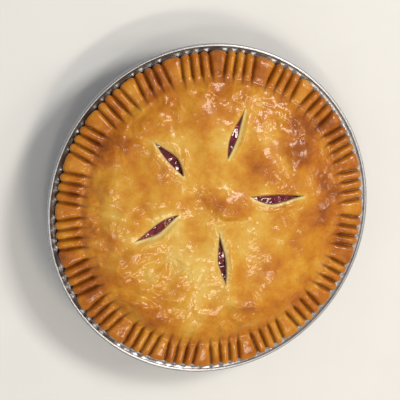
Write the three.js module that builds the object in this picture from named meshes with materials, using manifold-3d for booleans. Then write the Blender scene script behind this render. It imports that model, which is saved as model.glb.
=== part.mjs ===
// Cherry pie in its foil tin: an eight inch double-crust pie, fork-crimped and cut with five vents.
// Units are millimetres, +Z is up, and the origin is the centre of the tin's underside.
import * as THREE from "three";
import { mergeVertices } from "three/addons/utils/BufferGeometryUtils.js";
import Module from "manifold-3d";

const wasm = await Module();
wasm.setup();

// Driving dimensions of the foil tin
const TIN_DEPTH = 28; // height of the flange's top face over the table
const TIN_BASE_RADIUS = 74; // outside radius of the flat base at its corner
const TIN_MOUTH_RADIUS = 93; // inside radius at the flange
const FOIL = 0.45; // foil thickness, heavier than real foil so that the wall is a sound solid
const BEAD_CENTRE_RADIUS = 99.5; // rolled bead round the flange
const BEAD_RADIUS = 1.1;
const TIN_SEGMENTS = 60;

// Driving dimensions of the crust
const GAP = 0.35; // clearance between pieces that touch in the real pie
const CRUST_EDGE_RADIUS = 96.7; // mean radius of the trimmed, crimped edge
const FOOT_RADIUS = 80; // where the dome meets the crimped rim
const RIM_HEIGHT = 32.6; // rim's top face at the foot of the dome
const RIM_SLOPE = 0.09; // fall of the rim's top face for each millimetre outwards
const DOME_RISE = 10.6; // dome's top over the rim
const TOP_CRUST = 3.3; // thickness of the lid
const SIDE_CRUST = 3.2; // thickness of the case in the tin

// Driving dimensions of the fork crimps
const PRESSES = 20; // presses of the fork round the rim
const TINES = 4; // grooves that each press leaves
const TINE_PITCH = 3.87; // degrees between two grooves of one press
const FIRST_PRESS = 311.9; // degrees, middle of the press at the front right
const GROOVE_DEPTH = 1.5;

// Driving dimensions of the vents, a star of five cuts
const VENT_FLOOR = 2.1; // depth of the filling's face below the lid's top
const VENT_STEPS = 8; // straight pieces on each side of a vent

// Each vent runs from its inner tip to its outer tip. left and right give its bulge on either hand
// of that way: the greatest half width, and how far along it lies, from 0 to 1.
const VENTS = [
  { name: "upper left", inner: [-21.2, 24.2], outer: [-38.3, 45.4], left: [1.3, 0.5], right: [4.6, 0.4] },
  { name: "upper right", inner: [7, 33], outer: [18.2, 61], left: [3.2, 0.38], right: [1.6, 0.45] },
  { name: "right", inner: [21.5, 9], outer: [54.5, 7.4], left: [0.9, 0.5], right: [4.6, 0.42] },
  { name: "lower left", inner: [-24, 0.4], outer: [-50, -13.7], left: [3.5, 0.53], right: [2.3, 0.35] },
  { name: "bottom", inner: [1.4, -11.5], outer: [5.8, -43.8], left: [2.1, 0.58], right: [3.3, 0.52] },
];

// Swells and hollows of the lid: place, half lengths along and across, turn in degrees, height.
const SWELLS = [
  { name: "rolled fold right of the middle", at: [10, 4.5], half: [11, 8], turn: -8, height: 2.5 },
  { name: "crease under the rolled fold", at: [8, -6], half: [11, 2.6], turn: 2, height: -1.1 },
  { name: "blister on the right", at: [54, 33], half: [9, 8], turn: 30, height: 2.1 },
  { name: "crease beside the blister", at: [43, 27], half: [9, 3], turn: -60, height: -1.1 },
  { name: "swell left of the middle", at: [-38, 9], half: [9, 7], turn: 10, height: 1.6 },
  { name: "swell by the left edge", at: [-65, 18], half: [7, 6], turn: 70, height: 1.1 },
  { name: "lobe over the crimps, lower left", at: [-45, -57], half: [14, 6], turn: -40, height: 1.9 },
  { name: "valley above that lobe", at: [-49, -47], half: [14, 3.5], turn: -20, height: -1.3 },
  { name: "curled ridge, bottom", at: [18, -59], half: [11, 3], turn: -12, height: 1.5 },
  { name: "ridge on the upper right shoulder", at: [52, 54], half: [11, 4], turn: -50, height: 1.1 },
  { name: "swell by the lower left vent", at: [-47, -21], half: [13, 5], turn: 20, height: 1.3 },
  { name: "swell between the lower vents", at: [-20, -36], half: [14, 9], turn: 25, height: 1.2 },
  { name: "swell on the lower right", at: [34, -40], half: [15, 9], turn: -35, height: 1.0 },
  { name: "hollow between the right vents", at: [26, 20], half: [12, 6], turn: 35, height: -0.8 },
];

// Grid of the crust: the dome has one segment for each groove, the rim four.
const GROOVE_SHARES = [0, 0.27, 0.5, 0.73]; // places of the rim's points between two grooves
const DOME_RINGS = 15;
const RIM_RINGS = [-0.6, 2.6, 8.8, 14.2]; // distances of the rim's rings outside the foot of the dome
const FILLING_SEGMENTS = 40;
const FILLING_RINGS = 8;

const radians = (degrees) => (degrees * Math.PI) / 180;

// An even, repeatable number from 0 to 1 for each index.
function scatter(index) {
  const value = Math.sin(index * 12.9898 + 4.1) * 43758.5453;
  return value - Math.floor(value);
}

// Long shallow waves that keep the dome and the rim from being perfectly round.
function wave(x, y) {
  let height = 0;
  for (let index = 0; index < 5; index += 1) {
    const heading = index * 2.4;
    const length = 58 - 7 * index;
    const along = x * Math.cos(heading) + y * Math.sin(heading);
    height += 0.28 * Math.cos((2 * Math.PI * along) / length + index * 1.7);
  }
  return height;
}

// Rim's top face without its crimps.
const rimTop = (radius) => RIM_HEIGHT - RIM_SLOPE * (radius - FOOT_RADIUS);

// The foot of the dome wanders a little as it goes round.
const footAt = (angle) => FOOT_RADIUS + 0.8 * Math.cos(3 * angle + 0.6) + 0.6 * Math.cos(7 * angle);

// Smooth dome, nearly flat in the middle and steep towards the rim.
function domeHeight(x, y) {
  const radius = Math.hypot(x, y);
  const share = Math.min(radius / footAt(Math.atan2(y, x)), 1);
  return rimTop(Math.max(radius, FOOT_RADIUS)) + DOME_RISE * (1 - share ** 4) ** 0.62;
}

// Height that one swell adds at a point.
function swellHeight(swell, x, y) {
  const turn = radians(swell.turn);
  const dx = x - swell.at[0];
  const dy = y - swell.at[1];
  const along = (dx * Math.cos(turn) + dy * Math.sin(turn)) / swell.half[0];
  const across = (dy * Math.cos(turn) - dx * Math.sin(turn)) / swell.half[1];
  return swell.height * Math.exp(-((along * along + across * across) ** 1.3));
}

// Lid's top face with its swells, which fade out at the rim.
function lidHeight(x, y) {
  const radius = Math.hypot(x, y);
  const fade = 1 - THREE.MathUtils.smoothstep(radius, FOOT_RADIUS - 10, FOOT_RADIUS + 3);
  const swells = SWELLS.reduce((sum, swell) => sum + swellHeight(swell, x, y), 0);
  return domeHeight(x, y) + fade * (swells + wave(x, y));
}

// Angles of all grooves in order round the rim, in radians.
function grooveAngles() {
  const angles = [];
  for (let press = 0; press < PRESSES; press += 1) {
    const middle = FIRST_PRESS + (press * 360) / PRESSES + (press ? 1.4 * (scatter(press) - 0.5) : 0);
    for (let tine = 0; tine < TINES; tine += 1) {
      angles.push(radians(middle + (tine - (TINES - 1) / 2) * TINE_PITCH));
    }
  }
  return angles;
}

const GROOVES = grooveAngles();

// Depth of the crimps at a point of the rim's grid. Each groove has its own depth and its own start
// at the foot of the dome, and dies out half a pitch from its middle.
function crimpDepth({ groove, off }, radius) {
  const start = FOOT_RADIUS - 1 + 3 * scatter(groove + 40);
  const depth = GROOVE_DEPTH * (0.75 + 0.4 * scatter(groove + 7));
  const grown = THREE.MathUtils.smoothstep(radius, start, start + 4);
  return depth * grown * (0.5 + 0.5 * Math.cos(2 * Math.PI * off)) ** 1.5;
}

// Points of the rim's grid: the angle of each, its nearest groove, and how far off that groove's
// middle it lies, in pitches up to a half.
function rimColumns() {
  const columns = [];
  GROOVES.forEach((angle, groove) => {
    const following = (groove + 1) % GROOVES.length;
    const space = following ? GROOVES[following] - angle : GROOVES[0] + 2 * Math.PI - angle;
    GROOVE_SHARES.forEach((share) => {
      const nearest = share > 0.5 ? following : groove;
      const off = (Math.min(share, 1 - share) * space) / radians(TINE_PITCH);
      columns.push({ angle: angle + share * space, groove: nearest, off: Math.min(off, 0.5) });
    });
  });
  return columns;
}

const onCircle = (radius, angle, height) => [radius * Math.cos(angle), radius * Math.sin(angle), height];

// Closed skin over a stack of rings that starts and ends in a point. Where a ring has a multiple of
// its neighbour's points, each of the fewer points is joined to a fan of the others.
function skinOverRings(first, rings, last) {
  const positions = [...first, ...rings.flat(2), ...last];
  const indices = [];
  const starts = [];
  let next = 1;
  rings.forEach((ring) => {
    starts.push(next);
    next += ring.length;
  });
  const cap = (pole, ring, start, outward) => {
    ring.forEach((point, i) => {
      const a = start + i;
      const b = start + ((i + 1) % ring.length);
      indices.push(...(outward ? [pole, a, b] : [pole, b, a]));
    });
  };
  cap(0, rings[0], starts[0], true);
  for (let i = 0; i + 1 < rings.length; i += 1) {
    const upper = { count: rings[i].length, start: starts[i] };
    const lower = { count: rings[i + 1].length, start: starts[i + 1] };
    const steps = Math.max(upper.count, lower.count);
    const pick = (ring, step) => ring.start + (Math.floor((step * ring.count) / steps) % ring.count);
    for (let step = 0; step < steps; step += 1) {
      const corners = [pick(upper, step), pick(lower, step), pick(lower, step + 1), pick(upper, step + 1)];
      if (corners[1] !== corners[2]) indices.push(corners[0], corners[1], corners[2]);
      if (corners[0] !== corners[3]) indices.push(corners[0], corners[2], corners[3]);
    }
  }
  cap(next, rings[rings.length - 1], starts[rings.length - 1], false);
  const geometry = new THREE.BufferGeometry();
  geometry.setAttribute("position", new THREE.Float32BufferAttribute(positions, 3));
  geometry.setIndex(indices);
  return geometry;
}

// Wall line of the tin's inside, from its base corner to its mouth, as [radius, height] pairs.
const WALL_FOOT = [TIN_BASE_RADIUS, 2];
const WALL_TOP = [TIN_MOUTH_RADIUS, TIN_DEPTH - 0.6];

// A point on a line that lies inwards of the tin's wall by a given distance, measured square to it.
function insideWall(share, distance) {
  const run = WALL_TOP[0] - WALL_FOOT[0];
  const rise = WALL_TOP[1] - WALL_FOOT[1];
  const length = Math.hypot(run, rise);
  return [
    WALL_FOOT[0] + run * share - (distance * rise) / length,
    WALL_FOOT[1] + rise * share + (distance * run) / length,
  ];
}

// Foil tin: flat base, small coved corner, flared wall, flat flange and a rolled bead.
function foilTin() {
  const flange = TIN_DEPTH;
  const inside = [
    [0, FOIL],
    [TIN_BASE_RADIUS - 2.4, FOIL],
    [TIN_BASE_RADIUS - 0.8, 0.95],
    WALL_FOOT,
    WALL_TOP,
    [TIN_MOUTH_RADIUS + 0.7, flange],
  ];
  const bead = [];
  const beadHeight = flange - FOIL;
  for (let step = 0; step <= 8; step += 1) {
    const turn = radians(155 - (step * 310) / 8);
    bead.push([
      BEAD_CENTRE_RADIUS + BEAD_RADIUS * Math.cos(turn),
      beadHeight + BEAD_RADIUS * Math.sin(turn),
    ]);
  }
  const outside = [
    [BEAD_CENTRE_RADIUS - BEAD_RADIUS - 0.2, flange - FOIL],
    [TIN_MOUTH_RADIUS + 1, flange - FOIL],
    [WALL_TOP[0] + 0.45, WALL_TOP[1] - 0.15],
    insideWall(0, -FOIL),
    [TIN_BASE_RADIUS - 0.4, 0.45],
    [TIN_BASE_RADIUS - 2.1, 0],
    [0, 0],
  ];
  const profile = [...inside, ...bead, ...outside].reverse().map(([r, z]) => new THREE.Vector2(r, z));
  const geometry = new THREE.LatheGeometry(profile, TIN_SEGMENTS);
  geometry.rotateX(Math.PI / 2);
  return geometry;
}

// Crust without its hollow: the domed lid, the crimped rim and the case that lines the tin.
function crustBody() {
  const columns = rimColumns();
  const domeRing = (radius) => GROOVES.map((angle) => {
    const [x, y] = onCircle(radius, angle, 0);
    return [x, y, lidHeight(x, y)];
  });
  const rings = [];
  const lastDomeRadius = FOOT_RADIUS - 4;
  for (let ring = 1; ring <= DOME_RINGS; ring += 1) {
    rings.push(domeRing((lastDomeRadius * ring) / DOME_RINGS));
  }
  const rimRing = (radius) => columns.map((column) => {
    const [x, y] = onCircle(radius, column.angle, 0);
    return [x, y, lidHeight(x, y) - crimpDepth(column, radius)];
  });
  RIM_RINGS.forEach((out) => rings.push(rimRing(FOOT_RADIUS + out)));
  const edgeRing = (inset, height, follow) => columns.map((column) => {
    const ripple = 0.5 * Math.cos(2 * Math.PI * column.off) + 0.3 * Math.cos(5 * column.angle);
    const radius = CRUST_EDGE_RADIUS - inset - follow * ripple;
    return onCircle(radius, column.angle, height - follow * 0.7 * crimpDepth(column, CRUST_EDGE_RADIUS));
  });
  const underside = TIN_DEPTH + GAP;
  rings.push(edgeRing(0.6, underside + 2.2, 1));
  rings.push(edgeRing(0, underside + 1.2, 0.9));
  rings.push(edgeRing(0.7, underside, 0));
  const caseRing = ([radius, height]) => GROOVES.map((angle) => onCircle(radius, angle, height));
  rings.push(caseRing([TIN_MOUTH_RADIUS + 0.45, underside]));
  rings.push(caseRing(insideWall(1, GAP)));
  rings.push(caseRing(insideWall(0, GAP)));
  rings.push(caseRing([TIN_BASE_RADIUS - 1.1, FOIL + GAP + 0.5]));
  rings.push(caseRing([TIN_BASE_RADIUS - 2.7, FOIL + GAP]));
  return skinOverRings([0, 0, lidHeight(0, 0)], rings, [0, 0, FOIL + GAP]);
}

// Space inside the crust, or, with a clearance, the filling that it holds.
function fillingBody(clearance) {
  const bottom = FOIL + GAP + SIDE_CRUST + clearance;
  const outerRadius = FOOT_RADIUS - 5 - clearance;
  const angles = Array.from({ length: FILLING_SEGMENTS }, (_, i) => (i * 2 * Math.PI) / FILLING_SEGMENTS);
  const rings = [];
  for (let ring = 1; ring <= FILLING_RINGS; ring += 1) {
    const radius = (outerRadius * ring) / FILLING_RINGS;
    rings.push(angles.map((angle) => {
      const [x, y] = onCircle(radius, angle, 0);
      return [x, y, domeHeight(x, y) - TOP_CRUST - clearance];
    }));
  }
  const sideRing = ([radius, height]) => angles.map((angle) => onCircle(radius, angle, height));
  const side = SIDE_CRUST + GAP + clearance;
  rings.push(sideRing([FOOT_RADIUS - 1 - clearance, TIN_DEPTH + 0.5]));
  rings.push(sideRing([FOOT_RADIUS + 2 - clearance, TIN_DEPTH - 5]));
  rings.push(sideRing(insideWall(0.6, side)));
  rings.push(sideRing(insideWall(0.12, side)));
  rings.push(sideRing([insideWall(0, side)[0] - 2.5, bottom]));
  const top = domeHeight(0, 0) - TOP_CRUST - clearance;
  return skinOverRings([0, 0, top], rings, [0, 0, bottom]);
}

// Half width of one side of a vent at a share of its length.
function ventHalfWidth([width, widestAt], share) {
  const power = Math.log(0.5) / Math.log(widestAt);
  return width * Math.sin(Math.PI * share ** power);
}

// Upright plug in the outline of a vent, between two heights and narrowed by an inset.
function ventPlug(vent, inset, low, high) {
  const inner = new THREE.Vector2(...vent.inner);
  const outer = new THREE.Vector2(...vent.outer);
  const along = outer.clone().sub(inner).normalize();
  const square = new THREE.Vector2(-along.y, along.x);
  const start = inner.clone().addScaledVector(along, inset * 2);
  const length = inner.distanceTo(outer) - inset * 4;
  const sideOf = (bulge, sign) => {
    const points = [];
    for (let step = 1; step < VENT_STEPS; step += 1) {
      const share = step / VENT_STEPS;
      const half = Math.max(ventHalfWidth(bulge, share) - inset, 0.12);
      points.push(start.clone().addScaledVector(along, share * length).addScaledVector(square, sign * half));
    }
    return points;
  };
  const right = sideOf(vent.right, -1);
  const left = sideOf(vent.left, 1).reverse();
  const end = start.clone().addScaledVector(along, length);
  const outline = new THREE.Shape([start, ...right, end, ...left]);
  const geometry = new THREE.ExtrudeGeometry(outline, { depth: high - low, bevelEnabled: false });
  geometry.translate(0, 0, low);
  return geometry;
}

// Height of the filling's face in a vent.
function ventFloor(vent) {
  const middle = [0, 1].map((axis) => (vent.inner[axis] + vent.outer[axis]) / 2);
  return domeHeight(...middle) - VENT_FLOOR;
}

// A closed geometry as a solid that can be joined and cut.
function toSolid(geometry) {
  const bare = geometry.clone();
  bare.deleteAttribute("normal");
  bare.deleteAttribute("uv");
  const merged = mergeVertices(bare, 1e-4);
  return new wasm.Manifold(new wasm.Mesh({
    numProp: 3,
    vertProperties: new Float32Array(merged.attributes.position.array),
    triVerts: new Uint32Array(merged.index.array),
  }));
}

// The geometry of a finished solid.
function toGeometry(solid) {
  const mesh = solid.getMesh();
  const geometry = new THREE.BufferGeometry();
  geometry.setAttribute("position", new THREE.Float32BufferAttribute(mesh.vertProperties, 3));
  geometry.setIndex(Array.from(mesh.triVerts));
  return geometry;
}

// Crust: the body hollowed for the filling and cut through by the five vents.
function crust() {
  let solid = toSolid(crustBody()).subtract(toSolid(fillingBody(0)));
  VENTS.forEach((vent) => {
    solid = solid.subtract(toSolid(ventPlug(vent, 0, TIN_DEPTH, TIN_DEPTH + 30)));
  });
  return toGeometry(solid);
}

// Cherry filling: one body through the whole pie that stands up a little in each vent.
function cherryFilling() {
  let solid = toSolid(fillingBody(GAP));
  VENTS.forEach((vent) => {
    solid = solid.add(toSolid(ventPlug(vent, GAP, TIN_DEPTH, ventFloor(vent))));
  });
  return toGeometry(solid);
}

function piece(name, geometry, look) {
  geometry.computeVertexNormals();
  const mesh = new THREE.Mesh(geometry, new THREE.MeshStandardMaterial(look));
  mesh.name = name;
  return mesh;
}

const pie = new THREE.Group();
pie.name = "cherry_pie";
pie.add(piece("foil_tin", foilTin(), { color: 0xc9cacc, roughness: 0.3, metalness: 1 }));
pie.add(piece("cherry_filling", cherryFilling(), { color: 0x6b1420, roughness: 0.15, metalness: 0 }));
pie.add(piece("crust", crust(), { color: 0xd69a4a, roughness: 0.45, metalness: 0 }));

export default pie;
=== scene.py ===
"""Looks of the cherry pie in its foil tin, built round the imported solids.

Shapes are worked out in millimetres, with the centre of the tin's underside as origin and +Z up,
and every finished mesh is turned to metres. Comments name each material by what it is.
"""

import math

import bmesh
import bpy
import numpy as np
from mathutils import Matrix, Vector, noise


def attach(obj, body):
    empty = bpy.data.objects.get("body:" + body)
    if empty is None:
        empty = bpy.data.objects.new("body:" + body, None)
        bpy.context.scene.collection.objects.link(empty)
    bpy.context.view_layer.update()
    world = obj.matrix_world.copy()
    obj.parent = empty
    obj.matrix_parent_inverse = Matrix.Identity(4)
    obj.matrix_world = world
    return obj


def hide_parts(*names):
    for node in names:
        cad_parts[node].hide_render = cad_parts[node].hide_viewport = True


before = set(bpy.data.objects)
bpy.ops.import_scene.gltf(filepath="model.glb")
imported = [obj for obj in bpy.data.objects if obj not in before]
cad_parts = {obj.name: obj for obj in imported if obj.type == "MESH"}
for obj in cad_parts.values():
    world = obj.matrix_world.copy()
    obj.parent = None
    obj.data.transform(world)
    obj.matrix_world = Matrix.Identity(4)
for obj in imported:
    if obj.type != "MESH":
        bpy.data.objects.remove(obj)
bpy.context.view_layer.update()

MM = 0.001

# Foil tin
TIN_DEPTH = 28.0
TIN_BASE_RADIUS = 74.0
TIN_MOUTH_RADIUS = 93.0
FOIL = 0.45
BEAD_CENTRE_RADIUS = 99.5
BEAD_RADIUS = 1.1
RIB_RADII = (26, 54)
RIB_SECTION = ((-2.2, 0), (-1.2, 0.08), (-0.5, 0.22), (0.5, 0.22), (1.2, 0.08), (2.2, 0))
PLEAT_OUT = 0.8
PLEAT_DOWN = 0.4

# Crust
GAP = 0.35
EDGE_RADIUS = 96.7
EDGE_ROUND = 1.2
FOOT_RADIUS = 80.0
RIM_HEIGHT = 32.6
RIM_SLOPE = 0.09
DOME_RISE = 10.6
DOME_SPREAD = 2.6
TOP_CRUST = 3.3
SIDE_CRUST = 3.2
UNDERSIDE = TIN_DEPTH + GAP

# Fork crimps
PRESSES = 20
TINES = 4
TINE_STEP = 5.95
FIRST_PRESS = 311.9
GROOVE_DEPTH = 2.5
RIDGE_CROWN = 1.4
TIP_NOTCH = 2.1

# Vents: inner tip, outer tip, and on the left and right hand of that way the greatest half width
# and how far along it lies.
VENTS = {
    "upper_left": ((-21.2, 24.2), (-38.3, 45.4), (1.3, 0.5), (4.6, 0.4)),
    "upper_right": ((7.0, 33.0), (18.2, 61.0), (3.2, 0.38), (1.6, 0.45)),
    "right": ((21.5, 9.0), (54.5, 7.4), (0.9, 0.5), (5.2, 0.42)),
    "lower_left": ((-24.0, 0.4), (-50.0, -13.7), (3.5, 0.53), (2.3, 0.35)),
    "bottom": ((1.4, -11.5), (5.8, -43.8), (2.1, 0.58), (3.3, 0.52)),
}
VENT_FLOOR = 2.1
POCKET_DEPTH = 5.0

# Inward step from the ring above and depth below the lid of each ring of a vent's wall
WALL_STEPS = ((0.06, 0.1), (0.1, 0.28), (0.1, 0.55), (0.05, 0.95), (0.0, 1.5), (0.0, 2.2),
              (0.0, 3.2), (0.0, POCKET_DEPTH))

# Strand of dough left across the lower left vent: its ends, half width, thickness against its
# width, sag, and how far its ends sink into the lid
STRAND_START = Vector((-31.9, -0.9))
STRAND_END = Vector((-31.3, -6.6))
STRAND_RADIUS = 0.62
STRAND_FLATNESS = 0.62
STRAND_SAG = 1.5
STRAND_SUNK = 0.35
STRAND_STEPS = 16

# Swells and hollows of the lid: place, half lengths along and across, turn in degrees, height
SWELLS = (
    ((10, 4.5), (11, 8), -8, 2.1),
    ((8, -6), (11, 2.6), 2, -0.8),
    ((54, 33), (8.5, 7), 30, 2.3),
    ((43, 27), (9, 3), -60, -1.1),
    ((-38, 9), (9, 7), 10, 1.6),
    ((-65, 18), (7, 6), 70, 1.1),
    ((-45, -57), (14, 6), -40, 1.9),
    ((-49, -47), (14, 3.5), -20, -1.3),
    ((18, -59), (11, 3), -12, 1.5),
    ((52, 54), (11, 4), -50, 1.1),
    ((-47, -21), (13, 5), 20, 1.3),
    ((-20, -36), (14, 9), 25, 1.2),
    ((36, -42), (18, 10), 37, 1.0),
    ((12, -27), (10, 12), 0, 0.7),
    ((26, -29), (12, 12), 10, 0.9),
    ((-13, -1), (9, 8), 0, 0.6),
    ((28, -56), (22, 17), 10, 1.3),
    ((-5, -60), (11, 6), -10, 0.9),
    ((-57, 47), (7, 3), -35, 0.5),
    ((-70, 44), (3, 5), 10, 0.5),
    ((-2, 24), (10, 8), 0, 0.5),
    ((-24, 12), (10, 8), -30, 0.5),
    ((34, 15), (12, 7), 10, 0.4),
    ((-26, -50), (12, 5), 10, 0.7),
    ((-58, -34), (9, 7), 60, 0.9),
)

# Folds of the rolled dough, each along an arc: centre, radius, first and last angle in degrees,
# depth of its crease, and height of the soft roll beside it, inside the arc if positive.
FOLDS = (
    ((9, 8), 13.0, 192, 300, 0.6, 0.35),
    ((-22, -4), 23.4, 18, 62, 0.25, 0.5),
    ((54, 33), 10.5, 140, 215, 0.4, 0.5),
    ((-55, -75), 28.5, 40, 105, 0.9, 0.5),
    ((18, -68), 8.2, 25, 158, 0.8, -0.9),
    ((0, -90), 46.0, 38, 56, 0.35, 0.6),
    ((20, 34), 33.0, 28, 52, 0.3, 0.6),
    ((-52, 30), 18.0, 55, 100, 0.3, 0.6),
)

# Places painted browner, or paler, partly from browning in the oven and partly as painted shade and
# light:
# browner at the top and right, where the pie lay in shade, paler at the lower left, where more light
# fell.
# Each gives place, reach, and how much more.
BROWNING_AND_SHADE = (
    ((64, 2), 24, 0.3), ((52, 31), 13, 0.2), ((62, 52), 20, 0.12), ((-57, 45), 20, 0.14),
    ((-72, -28), 16, 0.2), ((-70, 10), 10, 0.06), ((22, -14), 14, -0.06), ((30, 26), 20, 0.2),
    ((-18, -24), 16, -0.16), ((-5, -62), 16, -0.06), ((8, -66), 14, 0.1), ((0, 62), 30, 0.12),
    ((-66, -62), 16, 0.1), ((-48, 4), 14, 0.06), ((-28, -38), 24, -0.12), ((4, 14), 18, 0.1),
    ((-66, 8), 13, -0.12), ((-9, -42), 12, -0.1), ((30, -56), 24, -0.14), ((20, -24), 12, 0.05),
    ((53, 31), 9, -0.1),
)


def smooth(low, high, value):
    """Soft step from 0 at low to 1 at high."""
    share = np.clip((value - low) / (high - low), 0, 1)
    return share * share * (3 - 2 * share)


def scatter(index):
    """An even, repeatable number from 0 to 1 for each index."""
    value = math.sin(index * 12.9898 + 4.1) * 43758.5453
    return value - math.floor(value)


def ripples(points, size, seed):
    """Soft random relief from about -1 to 1, with lumps of about the given size in millimetres."""
    shift = Vector((seed * 17.3, seed * 5.9, seed * 11.1))
    return np.array([noise.noise(Vector(p) / size + shift) for p in points]) * 1.6


def creases(points, size, seed):
    """Thin raised lines from 0 to 1 where soft random relief passes through zero."""
    return 1 - np.abs(np.clip(ripples(points, size, seed), -1, 1))


# Form of the lid and the rim, in millimetres

def foot_at(angle):
    """Radius at which the dome meets the rim, which wanders a little round the pie."""
    return FOOT_RADIUS + DOME_SPREAD + 0.8 * np.cos(3 * angle + 0.6) + 0.6 * np.cos(7 * angle)


def dome_height(x, y):
    """Smooth dome, nearly flat in the middle, with a soft foot on the sloping rim."""
    radius = np.hypot(x, y)
    share = np.minimum(radius / foot_at(np.arctan2(y, x)), 1)
    fall = 1 - share ** 4
    rim = RIM_HEIGHT - RIM_SLOPE * (np.maximum(radius, FOOT_RADIUS) - FOOT_RADIUS)
    return rim + DOME_RISE * 1.13 * fall ** 1.7 / (fall ** 0.9 + 0.13)


def waves(x, y):
    """Long shallow waves that keep the dome from being perfectly round."""
    height = 0
    for index in range(5):
        heading = index * 2.4
        length = 58 - 7 * index
        along = x * math.cos(heading) + y * math.sin(heading)
        height = height + 0.28 * np.cos(2 * math.pi * along / length + index * 1.7)
    return height


def swells(x, y):
    """The broad swells and hollows of the dough over the fruit."""
    height = 0
    for (at_x, at_y), (half_along, half_across), degrees, rise in SWELLS:
        turn = math.radians(degrees)
        along = ((x - at_x) * math.cos(turn) + (y - at_y) * math.sin(turn)) / half_along
        across = ((y - at_y) * math.cos(turn) - (x - at_x) * math.sin(turn)) / half_across
        height = height + rise * np.exp(-((along ** 2 + across ** 2) ** 1.3))
    return height


def folds(x, y):
    """Folds of the rolled dough: a narrow crease with a soft roll beside it."""
    height = 0
    for (at_x, at_y), radius, first, last, depth, roll in FOLDS:
        out = np.hypot(x - at_x, y - at_y) - radius
        angle = np.degrees(np.arctan2(y - at_y, x - at_x))
        off = np.abs((angle - (first + last) / 2 + 180) % 360 - 180) / ((last - first) / 2)
        crease = -depth * np.exp(-(out / 0.9) ** 2)
        bulge = abs(roll) * np.exp(-((out + math.copysign(2.6, roll)) / 2.2) ** 2)
        height = height + (1 - smooth(0.55, 1.0, off)) * (crease + bulge)
    return height


def vent_frame(vent):
    """Inner tip, unit way along the cut, unit way to its left, and its length."""
    inner, outer = Vector(vent[0]), Vector(vent[1])
    way = (outer - inner).normalized()
    return inner, way, Vector((-way.y, way.x)), (outer - inner).length


def bulge_at(bulge, share):
    """Half width of one side of a vent at a share of its length: half a soft curve, half a
    pointed one with its point a little rounded."""
    width, widest_at = bulge
    place = np.clip(share, 0, 1) ** (math.log(0.5) / math.log(widest_at))
    pointed = np.maximum(1 - np.sqrt((2 * place - 1) ** 2 + 0.015), 0)
    return width * (0.5 * np.sin(math.pi * place) + 0.55 * pointed)


def vent_place(vent, x, y):
    """Distance outside a vent's outline, how much of its opening is there, and how far the nearer
    side lies downhill of the cut, from 0 to 1."""
    inner, way, left, length = vent_frame(vent)
    along = (x - inner.x) * way.x + (y - inner.y) * way.y
    across = (x - inner.x) * left.x + (y - inner.y) * left.y
    share = np.clip(along / length, 0, 1)
    width = np.where(across > 0, bulge_at(vent[2], share), bulge_at(vent[3], share))
    beyond = np.maximum(np.maximum(-along, along - length), 0)
    gap = np.hypot(beyond, np.maximum(np.abs(across) - width, 0))
    lower = 0.5 + 0.5 * np.sign(across) * (left.x * 0.45 - left.y * 0.89)
    return gap, np.sin(math.pi * share) ** 0.5, lower


def lips(x, y):
    """The cut edges: drawn down towards the vent, with a low roll behind the lower one."""
    height = 0
    for vent in VENTS.values():
        gap, opening, lower = vent_place(vent, x, y)
        drawn = (0.35 + 0.55 * lower) * (1 - np.clip(gap / (1.2 + 1.8 * lower), 0, 1)) ** 2
        roll = 0.75 * lower * np.exp(-((gap - 3.4) / 1.4) ** 2)
        height = height + opening * (roll - drawn)
    return height


def press_middle(press):
    """Direction in radians in which one press of the fork points."""
    middle = FIRST_PRESS + press * 360 / PRESSES
    if press:
        middle += 1.4 * (scatter(press) - 0.5)
    return math.radians(middle)


def nearest_groove(x, y):
    """Number of the nearest groove, the distance from its middle, and half the width of the
    ridge there. The tines of a fork are parallel, so each press leaves parallel grooves."""
    radius = np.hypot(x, y)
    number = np.zeros(len(x), int)
    ahead = np.full(len(x), 30.0)
    behind = np.full(len(x), 30.0)
    for press in range(PRESSES):
        cos, sin = math.cos(press_middle(press)), math.sin(press_middle(press))
        near = x * cos + y * sin > 0.94 * radius
        across = y * cos - x * sin
        for tine in range(TINES):
            off = (tine - (TINES - 1) / 2) * TINE_STEP - across
            closer = near & (np.abs(off) < np.minimum(ahead, behind))
            number = np.where(closer, press * TINES + tine, number)
            ahead = np.where(near & (off >= 0), np.minimum(off, ahead), ahead)
            behind = np.where(near & (off < 0), np.minimum(-off, behind), behind)
    return number, np.minimum(ahead, behind), (ahead + behind) / 2


# Depth of each groove, and the radius at which it starts, which changes most from press to press
GROOVES = range(PRESSES * TINES)
GROOVE_DEPTHS = np.array([GROOVE_DEPTH * (0.75 + 0.4 * scatter(i + 7)) for i in GROOVES])
GROOVE_STARTS = np.array([FOOT_RADIUS - 1 + 3 * scatter(i // TINES + 60) + 1.4 * scatter(i + 40)
                          for i in GROOVES])


def crimp_depth(x, y):
    """Depth of the fork marks in the rim: narrow grooves between ridges that bulge up, so the
    depth is less than nothing on the ridges."""
    number, off, half = nearest_groove(x, y)
    share = np.clip(1 - np.hypot(off, 0.2) / half, 0, 1)
    mark = 0.75 * share ** (2.5 * half / 3) + 0.25 * np.exp(-(off / 0.8) ** 2)
    start = GROOVE_STARTS[number]
    radius = np.hypot(x, y)
    risen = smooth(FOOT_RADIUS, FOOT_RADIUS + 5, radius)
    crown = RIDGE_CROWN * risen * (1 - smooth(EDGE_RADIUS - 4, EDGE_RADIUS + 1, radius))
    depth = GROOVE_DEPTHS[number] * (1 - 0.25 * smooth(FOOT_RADIUS + 8, EDGE_RADIUS, radius))
    return depth * mark * smooth(start, start + 3.4, radius) - crown * (1 - mark)


def edge_at(x, y):
    """Radius of the trimmed edge: the ridges end in round tips, a little past the grooves."""
    angle = np.arctan2(y, x)
    _, off, half = nearest_groove(x, y)
    notch = TIP_NOTCH * np.clip(1 - np.hypot(off, 0.2) / half, 0, 1) ** (2.2 * half / 3)
    ring = np.stack([26 * np.cos(angle), 26 * np.sin(angle), 0 * angle], 1)
    return EDGE_RADIUS - 0.1 - notch + 0.35 * ripples(ring, 2.6, 8) + 0.25 * np.cos(5 * angle)


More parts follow.
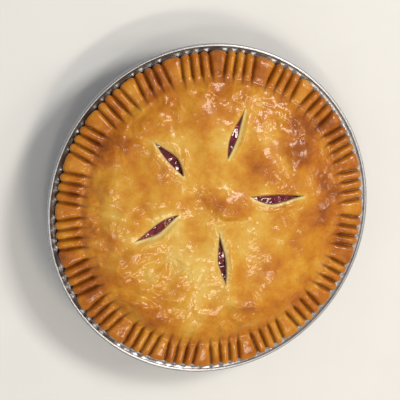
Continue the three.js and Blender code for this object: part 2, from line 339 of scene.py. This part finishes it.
def wrinkled(x, y):
    """Where the dough is crinkled, from 0 to 1: patches, the shoulder, and most at the lower left.
    It is calm right of the bottom vent and above the middle."""
    points = np.stack([x, y, 0 * x], 1)
    patches = smooth(0.0, 0.6, ripples(points, 34, 3))
    lower_left = np.exp(-(((x + 34) / 22) ** 2 + ((y + 31) / 17) ** 2))
    shoulder = smooth(58, 74, np.hypot(x, y))
    upper_right = np.exp(-(((x - 44) / 28) ** 2 + ((y - 48) / 20) ** 2))
    calm_right = np.exp(-(((x - 30) / 26) ** 2 + ((y + 24) / 22) ** 2))
    calm = calm_right + np.exp(-((x / 22) ** 2 + ((y - 28) / 13) ** 2))
    crinkled = 0.26 + 0.5 * patches + 0.8 * lower_left + 0.5 * shoulder + 0.3 * upper_right
    return np.clip(crinkled - 0.65 * calm, 0.06, 1)


def fine_relief(x, y):
    """Lumps of a few millimetres and thin wrinkles, as baked dough has."""
    points = np.stack([x, y, 0 * x], 1)
    drift = np.stack([ripples(points, 14, 21), ripples(points, 14, 22), 0 * x], 1)
    bent = points + 3.0 * drift
    clumps = 0.25 + 0.75 * smooth(-0.5, 0.5, ripples(points, 9, 9))
    small = 0.75 * creases(bent, 4.6, 6) ** 2 + 0.3 * creases(bent, 2.7, 4)
    crinkle = 0.5 * creases(bent, 9, 5) ** 2 + clumps * small
    lumps = 0.62 * ripples(points, 15, 1) + 0.13 * ripples(points, 7.5, 2)
    on_rim = smooth(FOOT_RADIUS - 2, FOOT_RADIUS + 3, np.hypot(x, y))
    return (lumps + wrinkled(x, y) * (crinkle + 0.4 * ripples(points, 7.5, 2))) * (1 - 0.75 * on_rim)


def lid_height(x, y):
    """Top face of the crust: dome, swells, folds, lips, fork marks and fine relief."""
    radius = np.hypot(x, y)
    fade = 1 - smooth(FOOT_RADIUS - 10, FOOT_RADIUS + 3, radius)
    broad = dome_height(x, y) + fade * (swells(x, y) + waves(x, y))
    soft_fade = 1 - smooth(FOOT_RADIUS - 3, FOOT_RADIUS + 4, radius)
    return broad + soft_fade * folds(x, y) + lips(x, y) - crimp_depth(x, y) + fine_relief(x, y)


# Mesh steps shared by the pieces

def open_edges(bm):
    """The edges that have a face on one side only."""
    return [edge for edge in bm.edges if edge.is_boundary]


def grow(bm, edges, place):
    """Extrudes an open edge loop, puts each new point where place says, and returns the new loop."""
    made = bmesh.ops.extrude_edge_only(bm, edges=edges)["geom"]
    for item in made:
        if isinstance(item, bmesh.types.BMVert):
            item.co = place(item.co)
    return [item for item in made if isinstance(item, bmesh.types.BMEdge) and item.is_boundary]


def on_ring(radius, height):
    """Places a point on a ring, at its own angle."""
    def place(co):
        stretch = radius / math.hypot(co.x, co.y)
        return Vector((co.x * stretch, co.y * stretch, height))
    return place


def close_at(bm, edges, height):
    """Closes an open loop to one point on the axis."""
    verts = {vert for edge in grow(bm, edges, on_ring(1, height)) for vert in edge.verts}
    bmesh.ops.pointmerge(bm, verts=list(verts), merge_co=(0, 0, height))


def turned(profile, steps):
    """A closed round body whose rings follow a profile of radius and height from axis to axis."""
    bm = bmesh.new()
    radius, height = profile[1]
    bmesh.ops.create_circle(bm, cap_ends=True, cap_tris=True, segments=steps, radius=radius)
    for vert in bm.verts:
        vert.co.z = height if vert.co.xy.length > 0.1 else profile[0][1]
    loop = open_edges(bm)
    for radius, height in profile[2:-1]:
        loop = grow(bm, loop, on_ring(radius, height))
    close_at(bm, loop, profile[-1][1])
    bmesh.ops.recalc_face_normals(bm, faces=bm.faces)
    return bm


def as_object(bm, name):
    """The mesh as a named object, still in millimetres."""
    mesh = bpy.data.meshes.new(name)
    bm.to_mesh(mesh)
    bm.free()
    piece = bpy.data.objects.new(name, mesh)
    bpy.context.scene.collection.objects.link(piece)
    return piece


def combine(piece, tool, operation):
    """Cuts the tool out of the piece, or joins it, and removes the tool."""
    modifier = piece.modifiers.new("combine", "BOOLEAN")
    modifier.operation = operation
    modifier.solver = "MANIFOLD"
    modifier.object = tool
    bpy.context.view_layer.update()
    result = piece.evaluated_get(bpy.context.evaluated_depsgraph_get())
    mesh = bpy.data.meshes.new_from_object(result)
    piece.modifiers.clear()
    piece.data = mesh
    bpy.data.objects.remove(tool)


def points_of(piece):
    """The piece's points as an array."""
    flat = np.zeros(len(piece.data.vertices) * 3)
    piece.data.vertices.foreach_get("co", flat)
    return flat.reshape(-1, 3)


def paint(piece, name, values):
    """Keeps one number for each point, for a material to read."""
    attribute = piece.data.attributes.new(name, "FLOAT", "POINT")
    attribute.data.foreach_set("value", np.clip(values, 0, 1).astype(np.float32))


def finish_piece(piece, material, node=None):
    """Turns a piece to metres, shades it smooth, gives it its material and body, and hides the imported
    part named by node.
    """
    piece.data.transform(Matrix.Scale(MM, 4))
    piece.data.shade_smooth()
    piece.data.materials.clear()
    piece.data.materials.append(material)
    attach(piece, "root")
    if node:
        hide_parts(node)


# Crust

def flat_sheet(bm):
    """Flat round sheet that grows ring by ring, each edge of a ring split in two once it gets
    too long."""
    count = 24
    radius = 3.0
    bmesh.ops.create_circle(bm, cap_ends=True, cap_tris=True, segments=count, radius=radius)
    loop = open_edges(bm)
    top_edge = EDGE_RADIUS - EDGE_ROUND
    while radius < top_edge - 0.01:
        on_dome = radius < FOOT_RADIUS - 2
        longest = 1.1 if on_dome else 0.6
        if 2 * math.pi * radius / count > longest:
            split = bmesh.ops.subdivide_edges(bm, edges=loop, cuts=1)
            for item in split["geom_inner"]:
                if isinstance(item, bmesh.types.BMVert):
                    item.co = on_ring(radius, 0)(item.co)
            loop = [edge for edge in split["geom_split"]
                    if isinstance(edge, bmesh.types.BMEdge) and edge.is_boundary]
            count *= 2
        radius = min(radius + (0.8 if on_dome else 1.0), top_edge)
        loop = grow(bm, loop, on_ring(radius, 0))


def vent_ruler(vent):
    """Measures how far a point lies along a vent's cut, and how far to the left of it."""
    inner, way, left, _ = vent_frame(vent)

    def local(co):
        return (co.xy - inner).dot(way), (co.xy - inner).dot(left)
    return local


def slit(bm, vent):
    """Cuts the flat sheet along a vent, where it is made finer, and returns the open edges."""
    inner, _, left, length = vent_frame(vent)
    local = vent_ruler(vent)

    def near(face, reach):
        along, across = local(face.calc_center_median())
        return -reach < along < length + reach and abs(across) < reach

    fine = {edge for face in bm.faces if near(face, 4.5) for edge in face.edges}
    bmesh.ops.subdivide_edges(bm, edges=list(fine), cuts=1, use_grid_fill=True)
    faces = [face for face in bm.faces if near(face, 1.0)]
    edges = {edge for face in faces for edge in face.edges}
    verts = {vert for face in faces for vert in face.verts}
    bmesh.ops.bisect_plane(bm, geom=[*faces, *edges, *verts], dist=1e-4,
                           plane_co=(inner.x, inner.y, 0), plane_no=(left.x, left.y, 0))

    def on_cut(vert):
        along, across = local(vert.co)
        return abs(across) < 2e-4 and 0 <= along <= length

    bmesh.ops.remove_doubles(bm, verts=[vert for vert in bm.verts if on_cut(vert)], dist=0.22)
    cut = [edge for edge in bm.edges if all(on_cut(vert) for vert in edge.verts)]
    bmesh.ops.split_edges(bm, edges=cut)
    loop = [edge for edge in open_edges(bm) if all(on_cut(vert) for vert in edge.verts)]
    return loop


def draw_open(bm, vent, loop):
    """Moves the sheet on both sides of a slit apart, to the outline of the vent."""
    left = vent_frame(vent)[2]
    local = vent_ruler(vent)
    cut_verts = {vert for edge in loop for vert in edge.verts}
    ends = sorted(cut_verts, key=lambda vert: local(vert.co)[0])
    first, last = local(ends[0].co)[0], local(ends[-1].co)[0]
    sides = {}
    for vert in cut_verts:
        lean = sum(local(face.calc_center_median())[1] for face in vert.link_faces)
        sides[vert] = math.copysign(1, lean)
    reach = 2.2 * max(vent[2][0], vent[3][0]) + 3
    moves = []
    for vert in bm.verts:
        along, across = local(vert.co)
        if abs(across) > reach or not first < along < last:
            continue
        side = sides.get(vert, math.copysign(1, across))
        width = float(bulge_at(vent[2] if side > 0 else vent[3], (along - first) / (last - first)))
        share = abs(across) / reach
        moves.append((vert, side * width * (1 - share) ** 2 * (1 + 2 * share)))
    for vert, step in moves:
        vert.co.xy += left * step


def open_vent(bm, vent):
    """Slits the flat sheet along a vent, draws the slit open and hangs the cut walls in it."""
    left = vent_frame(vent)[2]
    local = vent_ruler(vent)
    loop = slit(bm, vent)
    draw_open(bm, vent, loop)
    for inset, depth in WALL_STEPS:
        def down(co, inset=inset, depth=depth):
            across = local(co)[1]
            narrowed = co.xy - left * math.copysign(min(inset, abs(across) * 0.5), across)
            return Vector((narrowed.x, narrowed.y, -depth))
        loop = grow(bm, loop, down)
    bmesh.ops.holes_fill(bm, edges=loop, sides=0)


def shape_sheet(bm):
    """Lifts the flat sheet to the lid's form and trims its edge to the uneven outline."""
    flat = np.array([vert.co for vert in bm.verts])
    x, y, depth = flat[:, 0], flat[:, 1], -flat[:, 2]
    radius = np.hypot(x, y)
    trim = (edge_at(x, y) - EDGE_RADIUS) * smooth(FOOT_RADIUS + 4, EDGE_RADIUS, radius)
    stretch = 1 + trim / np.maximum(radius, 1)
    x, y = x * stretch, y * stretch
    height = lid_height(x, y) - depth
    for vert, place in zip(bm.verts, np.stack([x, y, height], 1)):
        vert.co = place


def crust_outside():
    """The crust before it is hollowed: lid with vents, crimped rim, edge and case."""
    bm = bmesh.new()
    flat_sheet(bm)
    for vent in VENTS.values():
        open_vent(bm, vent)
    shape_sheet(bm)
    loop = [edge for edge in open_edges(bm) if edge.verts[0].co.xy.length > FOOT_RADIUS]
    turn = 0.0
    turns = 6
    for step in range(1, turns + 1):
        next_turn = math.pi * step / turns

        def round_edge(co, turn=turn, next_turn=next_turn):
            out = EDGE_ROUND * (math.sin(next_turn) - math.sin(turn))
            stretch = 1 + out / math.hypot(co.x, co.y)
            share = (1 + math.cos(next_turn)) / (1 + math.cos(turn))
            height = UNDERSIDE + (co.z - UNDERSIDE) * share
            return Vector((co.x * stretch, co.y * stretch, height))

        loop = grow(bm, loop, round_edge)
        turn = next_turn
    for radius, height in case_profile(GAP):
        loop = grow(bm, loop, on_ring(radius, height))
    close_at(bm, loop, FOIL + GAP)
    bmesh.ops.triangulate(bm, faces=[face for face in bm.faces if len(face.verts) > 4])
    bmesh.ops.recalc_face_normals(bm, faces=bm.faces)
    return as_object(bm, "crust_baked")


def inside_wall(share, distance):
    """A point that lies inwards of the tin's wall by a distance, at a share of its height."""
    foot, top = Vector((TIN_BASE_RADIUS, 2)), Vector((TIN_MOUTH_RADIUS, TIN_DEPTH - 0.6))
    line = top - foot
    return tuple(foot + line * share + Vector((-line.y, line.x)).normalized() * distance)


def case_profile(clearance):
    """Outside of the case that lines the tin, from its mouth down to its base."""
    return ((TIN_MOUTH_RADIUS + 0.45, UNDERSIDE), inside_wall(1, clearance), inside_wall(0.5, clearance),
            inside_wall(0, clearance), (TIN_BASE_RADIUS - 1.1, FOIL + clearance + 0.5),
            (TIN_BASE_RADIUS - 2.7, FOIL + clearance))


def filling_body(name, clearance):
    """Space inside the crust or, with a clearance, the filling that it holds."""
    bottom = FOIL + GAP + SIDE_CRUST + clearance
    outer = FOOT_RADIUS - 5 - clearance
    side = SIDE_CRUST + GAP + clearance
    below_lid = TOP_CRUST + clearance
    top = [(outer * ring / 14, float(dome_height(outer * ring / 14, 0.0)) - below_lid)
           for ring in range(15)]
    sides = [(FOOT_RADIUS - 1 - clearance, TIN_DEPTH + 0.5), (FOOT_RADIUS + 2 - clearance, TIN_DEPTH - 5),
             inside_wall(0.6, side), inside_wall(0.12, side), (inside_wall(0, side)[0] - 2.5, bottom)]
    bm = turned([*top, *sides, (0, bottom)], 120)
    for vert in bm.verts:
        if math.hypot(vert.co.x, vert.co.y) < outer + 0.1 and vert.co.z > TIN_DEPTH:
            vert.co.z = float(dome_height(vert.co.x, vert.co.y)) - below_lid
    return as_object(bm, name)


def make_crust(material):
    """Crust: domed lid with five vents, fork-crimped rim and the case in the tin."""
    crust = crust_outside()
    combine(crust, filling_body("hollow", 0), "DIFFERENCE")
    points = points_of(crust)
    x, y, z = points.T
    radius = np.hypot(x, y)
    relief = lid_height(x, y)
    depth = relief - z
    places = [vent_place(vent, x, y) for vent in VENTS.values()]
    gaps = [place[0] for place in places]
    gap = np.min(gaps, axis=0)
    lower = np.choose(np.argmin(gaps, axis=0), [place[2] for place in places])
    _, off, _ = nearest_groove(x, y)
    flat = np.stack([x, y, 0 * x], 1)
    on_rim = smooth(FOOT_RADIUS - 5, FOOT_RADIUS + 3, radius)
    raised = swells(x, y) + 0.8 * ripples(flat, 13, 1)
    bake_and_shade = 0.33 + 0.14 * raised + 0.2 * smooth(45, 78, radius) + 0.14 * on_rim
    bake_and_shade = bake_and_shade + 0.18 * ripples(flat, 17, 31)
    # The spots add oven browning and painted shade and light: darker at the top and right, paler at the
    # lower left.
    for (at_x, at_y), reach, more in BROWNING_AND_SHADE:
        bake_and_shade = bake_and_shade + more * np.exp(-((x - at_x) ** 2 + (y - at_y) ** 2) / reach ** 2)
    paint(crust, "bake_and_shade", np.minimum(bake_and_shade, 0.95) - 0.3 * np.exp(-gap / 4.5))
    uneven = 1.0 + 0.5 * ripples(flat, 6, 33)
    pale = 1 - smooth(0.3, 0.8 + 1.3 * lower * uneven, gap)
    paint(crust, "lip", 0.85 * pale * smooth(0.15, 0.7, lower) * (1 - on_rim))
    soaked = (1 - lower) * (1 - smooth(0.1, 1.0, gap))
    wet = smooth(0.4 + 1.2 * lower, 1.6 + 1.6 * lower, depth) * (gap < 0.5)
    paint(crust, "stain", np.maximum(wet, 0.8 * soaked))
    # Painted shade: the fork grooves of the rim are marked for darkening, where shade falls.
    paint(crust, "groove", on_rim * np.exp(-(off / 0.8) ** 2))
    finish_piece(crust, material, "crust")


def make_strand(material):
    """A thin strand of dough that still hangs across the lower left vent."""
    start_height, end_height = lid_height(np.array([STRAND_START.x, STRAND_END.x]),
                                          np.array([STRAND_START.y, STRAND_END.y]))

    def middle(share):
        place = STRAND_START.lerp(STRAND_END, share)
        height = start_height * (1 - share) + end_height * share - STRAND_SUNK
        height -= STRAND_SAG * math.sin(math.pi * share)
        return Vector((place.x + 0.3 * math.sin(5 * share), place.y, height))

    def waist(share):
        return 1 - 0.25 * math.sin(math.pi * share)

    def section(share, corner):
        return middle(share) + Vector((corner.x, 0, corner.y * STRAND_FLATNESS)) * waist(share)

    bm = bmesh.new()
    bmesh.ops.create_circle(bm, cap_ends=True, cap_tris=True, segments=12, radius=STRAND_RADIUS)
    loop = open_edges(bm)
    for vert in bm.verts:
        vert.co = section(0, vert.co.copy())
    for step in range(STRAND_STEPS):

        def onwards(co, share=step / STRAND_STEPS, next_share=(step + 1) / STRAND_STEPS):
            corner = (co - middle(share)) / waist(share)
            return section(next_share, Vector((corner.x, corner.z / STRAND_FLATNESS)))

        loop = grow(bm, loop, onwards)
    bmesh.ops.holes_fill(bm, edges=loop, sides=0)
    bmesh.ops.recalc_face_normals(bm, faces=bm.faces)
    strand = as_object(bm, "crust_strand")
    paint(strand, "bake_and_shade", np.full(len(strand.data.vertices), 0.72))
    finish_piece(strand, material)


# Cherry filling

def vent_plug(vent, name):
    """The wet face of the filling in one vent, on a plug that reaches down into the body."""
    inner, way, left, length = vent_frame(vent)
    bm = bmesh.new()
    bmesh.ops.create_grid(bm, x_segments=90, y_segments=16, size=1)
    inset = 0.12  # gap that the filling keeps from the crust
    for vert in bm.verts:
        share = 0.5 + 0.5 * vert.co.x
        width = max(float(bulge_at(vent[2] if vert.co.y > 0 else vent[3], share)) - inset - 0.25, 0.06)
        place = inner + way * (inset + share * (length - 2 * inset)) + left * (vert.co.y * width)
        vert.co = (place.x, place.y, 0)
    flat = np.array([vert.co for vert in bm.verts])
    x, y = flat[:, 0], flat[:, 1]
    fruit = 0.8 * ripples(flat, 7, 12) + 0.34 * ripples(flat, 3.2, 13) + 0.05 * ripples(flat, 1.5, 14)
    height = dome_height(x, y) + swells(x, y) - VENT_FLOOR + np.minimum(fruit, 0.9)
    for vert, z in zip(bm.verts, height):
        vert.co.z = z
    loop = open_edges(bm)

    def sunk(co):
        return Vector((co.x, co.y, float(dome_height(co.x, co.y)) - TOP_CRUST - 3))

    loop = grow(bm, loop, sunk)
    bmesh.ops.holes_fill(bm, edges=loop, sides=0)
    bmesh.ops.triangulate(bm, faces=[face for face in bm.faces if len(face.verts) > 4])
    bmesh.ops.recalc_face_normals(bm, faces=bm.faces)
    return as_object(bm, name)


def make_filling(material):
    """Cherry filling: one body through the pie that stands up in the vents."""
    filling = filling_body("cherry_filling_set", GAP)
    for name, vent in VENTS.items():
        combine(filling, vent_plug(vent, "plug_" + name), "UNION")
    finish_piece(filling, material, "cherry_filling")


# Foil tin

def tin_profile():
    """Section of the tin: inside face outwards, round the rolled bead, and back underneath."""
    base = TIN_BASE_RADIUS
    ribs = [(radius + out, rise) for radius in RIB_RADII for out, rise in RIB_SECTION]
    inside = [(0, FOIL)] + [(radius, FOIL + rise) for radius, rise in ribs]
    inside += [(base - 2.4, FOIL), (base - 1.5, FOIL + 0.15), (base - 0.8, 0.95)]
    inside += [inside_wall(share / 10, 0) for share in range(11)]
    inside += [(TIN_MOUTH_RADIUS + 0.7, TIN_DEPTH), (TIN_MOUTH_RADIUS + 3.2, TIN_DEPTH)]
    bead = []
    for step in range(17):
        turn = math.radians(155 - 310 * step / 16)
        bead.append((BEAD_CENTRE_RADIUS + BEAD_RADIUS * math.cos(turn),
                     TIN_DEPTH - FOIL + BEAD_RADIUS * math.sin(turn)))
    under = TIN_DEPTH - FOIL
    outside = [(BEAD_CENTRE_RADIUS - BEAD_RADIUS - 0.2, under), (TIN_MOUTH_RADIUS + 3.2, under),
               (TIN_MOUTH_RADIUS + 1, under), (TIN_MOUTH_RADIUS + 0.45, TIN_DEPTH - 0.75)]
    outside += [inside_wall(1 - share / 10, -FOIL) for share in range(1, 11)]
    outside += [(base - 0.4, 0.45), (base - 1.2, 0.1), (base - 2.1, 0)]
    return inside + bead + outside + ribs[::-1] + [(0, 0)]


def make_tin(material):
    """Foil tin: pressed from one sheet, so its wall and flange carry fine gathered wrinkles."""
    bm = turned(tin_profile(), 960)
    points = np.array([vert.co for vert in bm.verts])
    radius = np.hypot(points[:, 0], points[:, 1])
    angle = np.arctan2(points[:, 1], points[:, 0])
    ring = np.stack([84 * np.cos(angle), 84 * np.sin(angle), points[:, 2] * 0.1], 1)
    pleats = 0.9 * creases(ring, 7.5, 41) ** 6 + 0.5 * creases(ring, 3.2, 42) ** 4
    before_bead = 1 - smooth(97.2, 98.4, radius)
    grown = smooth(TIN_BASE_RADIUS - 1, TIN_MOUTH_RADIUS, radius) * before_bead
    gathered = pleats * (0.35 * smooth(70, 74.5, radius) + 0.65 * grown) * before_bead
    for vert, move, r in zip(bm.verts, gathered, radius):
        if r > 1:
            vert.co.x *= 1 + move * PLEAT_OUT / r
            vert.co.y *= 1 + move * PLEAT_OUT / r
            vert.co.z -= move * PLEAT_DOWN * (vert.co.z > 1)
    tin = as_object(bm, "foil_tin_pressed")
    # Painted shade: the foil is marked darker along the pleats and on the flange under the crust's edge.
    under_crust_shade = smooth(TIN_MOUTH_RADIUS - 3, TIN_MOUTH_RADIUS, radius) * (1 - smooth(96.4, 98, radius))
    paint(tin, "pleat_and_flange_shade", np.maximum(gathered, 1.2 * under_crust_shade * (points[:, 2] > TIN_DEPTH - 0.2)))
    finish_piece(tin, material, "foil_tin")


# Materials

def colour(code):
    """An sRGB hex colour as linear red, green, blue and alpha."""
    parts = [int(code[i:i + 2], 16) / 255 for i in (1, 3, 5)]
    return (*[p / 12.92 if p <= 0.04045 else ((p + 0.055) / 1.055) ** 2.4 for p in parts], 1.0)


def add(tree, kind, inputs=None, links=None, **settings):
    """Adds a node with its settings, its fixed inputs, and its links from other sockets."""
    node = tree.nodes.new(kind)
    for name, value in settings.items():
        setattr(node, name, value)
    for name, value in (inputs or {}).items():
        node.inputs[name].default_value = value
    for name, socket in (links or {}).items():
        tree.links.new(socket, node.inputs[name])
    return node


def new_material(name, **shader):
    """A material with a Principled shader, whose fixed inputs are given, and its node tree."""
    material = bpy.data.materials.new(name)
    material.use_nodes = True
    tree = material.node_tree
    bsdf = tree.nodes["Principled BSDF"]
    for key, value in shader.items():
        bsdf.inputs[key.replace("_", " ")].default_value = value
    return material, tree, bsdf


def mixed(tree, share, first, second):
    """Colour mixed from first to second by share, each a socket, a number or a colour."""
    node = add(tree, "ShaderNodeMix", data_type="RGBA")
    for index, value in ((0, share), (6, first), (7, second)):
        if isinstance(value, bpy.types.NodeSocket):
            tree.links.new(value, node.inputs[index])
        else:
            node.inputs[index].default_value = value
    return node.outputs[2]


def ramp(tree, value, stops):
    """Colour ramp over a value, with stops of position and colour."""
    node = add(tree, "ShaderNodeValToRGB", links={"Fac": value})
    elements = node.color_ramp.elements
    while len(elements) < len(stops):
        elements.new(0.5)
    for element, (position, shade) in zip(elements, stops):
        element.position = position
        element.color = shade
    return node.outputs["Color"]


def grain(tree, size, detail=2.0, roughness=0.5):
    """Noise over the object whose lumps are about size millimetres."""
    place = add(tree, "ShaderNodeTexCoord").outputs["Object"]
    return add(tree, "ShaderNodeTexNoise", links={"Vector": place}, inputs={
        "Scale": 1 / (size * MM), "Detail": detail, "Roughness": roughness}).outputs["Fac"]


def maths(tree, operation, first, second):
    """One sum on two values, each a socket or a number."""
    node = add(tree, "ShaderNodeMath", operation=operation)
    for index, value in enumerate((first, second)):
        if isinstance(value, bpy.types.NodeSocket):
            tree.links.new(value, node.inputs[index])
        else:
            node.inputs[index].default_value = value
    return node.outputs[0]


def read(tree, name):
    """An attribute that the piece carries."""
    return add(tree, "ShaderNodeAttribute", attribute_name=name).outputs["Fac"]


def baked_pastry():
    """Shortcrust pastry, egg-washed and baked: golden and glossy, browner where it stands high, with
    painted shade in the fork grooves and patches of painted shade and light on the lid.
    """
    material, tree, bsdf = new_material(
        "egg_washed_shortcrust", IOR=1.45, Coat_Weight=0.6, Coat_Roughness=0.16, Coat_IOR=1.45,
        Subsurface_Weight=0.12, Subsurface_Radius=(0.003, 0.0016, 0.0007), Subsurface_Scale=1.0,
        Specular_IOR_Level=0.25)
    patch = maths(tree, "MULTIPLY", maths(tree, "SUBTRACT", grain(tree, 8, 4, 0.6), 0.5), 0.85)
    fleck = maths(tree, "MULTIPLY", maths(tree, "SUBTRACT", grain(tree, 1.6, 3, 0.6), 0.5), 0.25)
    # The attribute read here carries oven browning together with painted shade and light on the lid.
    bake_and_shade = maths(tree, "ADD", read(tree, "bake_and_shade"), maths(tree, "ADD", patch, fleck))
    golden = ramp(tree, bake_and_shade, [
        (0.0, colour("#E2BC5E")), (0.28, colour("#DAA235")), (0.5, colour("#CE881B")),
        (0.75, colour("#BA6B08")), (1.0, colour("#954C04"))])
    lipped = mixed(tree, read(tree, "lip"), golden, colour("#F0DA94"))
    # Painted shade: the fork grooves are darkened to deep brown.
    groove_shaded = mixed(tree, maths(tree, "MULTIPLY", read(tree, "groove"), 0.8), lipped, colour("#5E2D0D"))
    stained = mixed(tree, read(tree, "stain"), groove_shaded, colour("#5C1A26"))
    tree.links.new(stained, bsdf.inputs["Base Color"])
    dull = maths(tree, "ADD", 0.34, maths(tree, "MULTIPLY", grain(tree, 4, 3), 0.22))
    tree.links.new(dull, bsdf.inputs["Roughness"])
    fine = add(tree, "ShaderNodeBump", links={"Height": grain(tree, 1.6, 2, 0.5)},
               inputs={"Strength": 0.4, "Distance": 0.25 * MM})
    tree.links.new(fine.outputs["Normal"], bsdf.inputs["Normal"])
    glaze = add(tree, "ShaderNodeBump", links={"Height": grain(tree, 2.6, 1, 0.5)},
                inputs={"Strength": 0.6, "Distance": 0.35 * MM})
    tree.links.new(glaze.outputs["Normal"], bsdf.inputs["Coat Normal"])
    return material


def cherry_jelly():
    """Cherries in set juice: dark red, clear and wet, with sharp highlights."""
    material, tree, bsdf = new_material(
        "cherry_jelly", IOR=1.4, Roughness=0.08, Coat_Weight=0.8, Coat_Roughness=0.03,
        Subsurface_Weight=0.25, Subsurface_Radius=(0.004, 0.0008, 0.0008), Subsurface_Scale=1.0)
    shade = ramp(tree, grain(tree, 5, 3, 0.6), [
        (0.3, colour("#4A0E18")), (0.52, colour("#75202E")), (0.72, colour("#9C3A49"))])
    tree.links.new(shade, bsdf.inputs["Base Color"])
    bump = add(tree, "ShaderNodeBump", links={"Height": grain(tree, 2.0, 1)},
               inputs={"Strength": 0.5, "Distance": 0.3 * MM})
    tree.links.new(bump.outputs["Normal"], bsdf.inputs["Normal"])
    return material


def pressed_foil():
    """Rolled aluminium foil, pressed: bright metal with fine rolling lines and soft dimples, with painted
    shade along the pleats and under the crust's edge.
    """
    material, tree, bsdf = new_material(
        "pressed_aluminium_foil", Metallic=1.0, Roughness=0.36)
    place = add(tree, "ShaderNodeTexCoord").outputs["Object"]
    stretched = add(tree, "ShaderNodeMapping", links={"Vector": place}, inputs={"Scale": (1, 14, 1)})
    lines = add(tree, "ShaderNodeTexNoise", links={"Vector": stretched.outputs["Vector"]},
                inputs={"Scale": 1 / (6 * MM), "Detail": 3})
    shade = mixed(tree, lines.outputs["Fac"], colour("#A3A5A9"), colour("#C2C3C7"))
    # Painted shade along the pleats and on the flange under the crust's edge.
    pleat_and_flange_shaded = mixed(tree, maths(tree, "MULTIPLY", read(tree, "pleat_and_flange_shade"), 0.55), shade, colour("#6E7075"))
    tree.links.new(pleat_and_flange_shaded, bsdf.inputs["Base Color"])
    dimple = add(tree, "ShaderNodeBump", links={"Height": grain(tree, 5, 2)},
                 inputs={"Strength": 0.35, "Distance": 0.4 * MM})
    fine = add(tree, "ShaderNodeBump", inputs={"Strength": 0.15, "Distance": 0.05 * MM},
               links={"Height": lines.outputs["Fac"], "Normal": dimple.outputs["Normal"]})
    tree.links.new(fine.outputs["Normal"], bsdf.inputs["Normal"])
    return material


def floor_board():
    """Plain pale matte board."""
    material, tree, bsdf = new_material("pale_board", Roughness=0.9)
    shade = mixed(tree, grain(tree, 40, 2), colour("#F0F0EF"), colour("#EAEAE9"))
    tree.links.new(shade, bsdf.inputs["Base Color"])
    return material


# Camera, floor and light

# The camera stands where the photograph's did against the pie, and FOCAL_PIXELS is its focal
# length in pixels of the 400 pixel frame.
CAMERA_PLACE = Vector((-534.6, 381.3, 1705.0)) * MM
CAMERA_WAY = Vector((0.2940, -0.2087, -0.9327))
CAMERA_UP = Vector((0.0616, 0.9780, -0.1994))
FOCAL_PIXELS = 3002.8
FRAME_PIXELS = 400
SENSOR = 36.0


def make_camera():
    """Long lens from nearly overhead, a little to the pie's left and back."""
    camera = bpy.data.objects.new("camera", bpy.data.cameras.new("camera"))
    bpy.context.scene.collection.objects.link(camera)
    camera.data.sensor_width = SENSOR
    camera.data.lens = FOCAL_PIXELS * SENSOR / FRAME_PIXELS
    back = -CAMERA_WAY.normalized()
    right = CAMERA_UP.cross(back).normalized()
    up = back.cross(right)
    turn = Matrix((right, up, back)).transposed().to_4x4()
    camera.matrix_world = Matrix.Translation(CAMERA_PLACE) @ turn
    bpy.context.scene.camera = camera


def area_light(name, way, distance, length, width, power, tint):
    """Soft rectangular light that shines at the pie from a direction."""
    light = bpy.data.lights.new(name, "AREA")
    light.shape = "RECTANGLE"
    light.size = length
    light.size_y = width
    light.energy = power
    light.color = colour(tint)[:3]
    lamp = bpy.data.objects.new(name, light)
    bpy.context.scene.collection.objects.link(lamp)
    way = Vector(way).normalized()
    lamp.location = way * distance
    lamp.rotation_euler = way.to_track_quat("Z", "Y").to_euler()


def make_studio():
    """Pale floor and surround, the key light from the back right, a strip light from the front,
    small lights from the top and the right side, which the glaze mirrors in broken patches, and a
    weak fill."""
    bm = bmesh.new()
    bmesh.ops.create_grid(bm, x_segments=1, y_segments=1, size=3000)
    floor = as_object(bm, "floor")
    floor.data.transform(Matrix.Scale(MM, 4))
    floor.data.materials.append(floor_board())
    area_light("key", (0.5, 0.34, 0.82), 1.5, 0.42, 0.42, 10.0, "#FFF9F0")
    area_light("low", (0.2, -0.44, 0.87), 1.5, 0.54, 0.15, 5.2, "#FFF2DE")
    area_light("top", (-0.24, -0.16, 0.95), 1.8, 0.26, 0.26, 2.6, "#FFF9F0")
    area_light("side", (0.74, 0.02, 0.67), 1.6, 0.3, 0.3, 2.6, "#FFF4E4")
    area_light("fill", (-0.8, -0.3, 0.7), 2.0, 1.6, 1.6, 2.6, "#F8FAFF")
    world = bpy.data.worlds.new("studio")
    bpy.context.scene.world = world
    world.use_nodes = True
    world.node_tree.nodes["Background"].inputs["Color"].default_value = colour("#F4F4F4")
    world.node_tree.nodes["Background"].inputs["Strength"].default_value = 0.32
    bpy.context.scene.view_settings.view_transform = "Standard"


make_camera()
make_studio()
make_tin(pressed_foil())
make_filling(cherry_jelly())
crust_material = baked_pastry()
make_crust(crust_material)
make_strand(crust_material)
